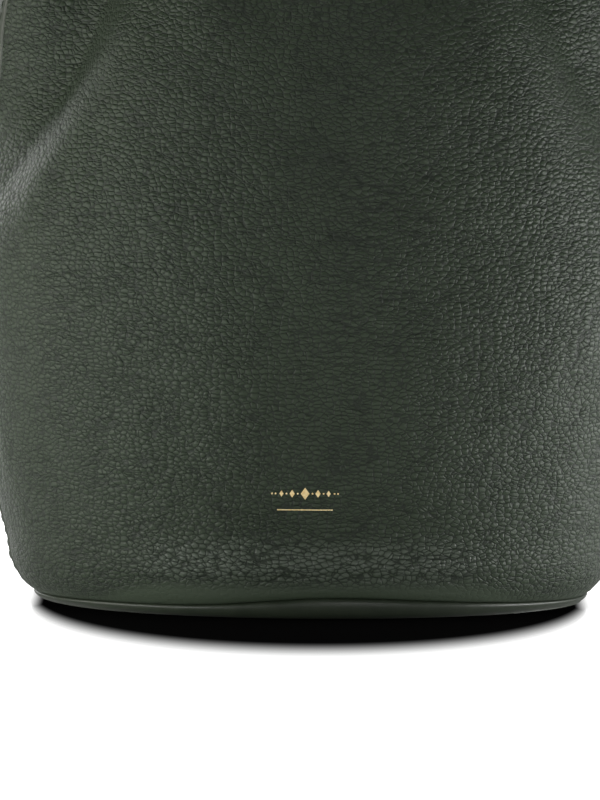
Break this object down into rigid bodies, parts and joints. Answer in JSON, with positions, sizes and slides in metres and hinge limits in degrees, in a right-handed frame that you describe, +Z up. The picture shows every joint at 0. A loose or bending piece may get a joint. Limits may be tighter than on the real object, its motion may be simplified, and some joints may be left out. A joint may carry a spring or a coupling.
{
  "type": "bucket bag",
  "caption": "Soft pebbled-leather bucket bag with an oval bound base, a bellied body gathered into a collar, a riveted strap handle and a magnetic closing tab.",
  "frame": {"origin": "on the floor, under the centre of the oval base", "axes": "+Z up, +X to the right seen from the front, +Y from the front of the bag to its back"},
  "size_m": [0.2404, 0.1766, 0.4428],
  "materials": {
    "body_leather": "pebbled, semi-matte, dark bottle green",
    "binding_leather": "smooth, soft sheen, dark bottle green",
    "lining": "suede-like, matte, warm taupe",
    "board": "pressed fibre board, matte",
    "brass": "polished pale gold plating"
  },
  "bodies": {
    "bag_body": {"base_binding": "binding_leather", "base_panel": "body_leather", "base_board": "board", "lining_floor": "lining", "lining_wall": "lining", "front_panel": "body_leather", "back_panel": "body_leather", "side_seam_left": "body_leather", "side_seam_right": "body_leather", "top_collar": "body_leather", "collar_stiffener": "board", "collar_facing": "binding_leather", "mouth_binding": "binding_leather", "pocket_divider": "lining", "slip_pocket": "lining", "pocket_binding": "binding_leather", "handle_pad_left": "binding_leather", "handle_pad_right": "binding_leather", "handle_rivet_left": "brass", "handle_rivet_right": "brass", "rivet_washer_left": "brass", "rivet_washer_right": "brass", "tab_base": "binding_leather", "magnet_lower": "brass"},
    "handle": {"handle_strap": "binding_leather", "handle_backing": "binding_leather"},
    "closure": {"closure_tab": "binding_leather", "tab_lining": "binding_leather", "magnet_upper": "brass"}
  },
  "joints": [
    {"name": "handle_swing", "type": "hinge", "parent": "bag_body", "child": "handle", "pos_m": [0, 0, 0.268], "axis": [1, 0, 0], "range_deg": [-100, 100]},
    {"name": "tab_flex", "type": "hinge", "parent": "bag_body", "child": "closure", "pos_m": [0, 0.06132, 0.28786], "axis": [-1, 0, 0], "range_deg": [0, 165]}
  ]
}
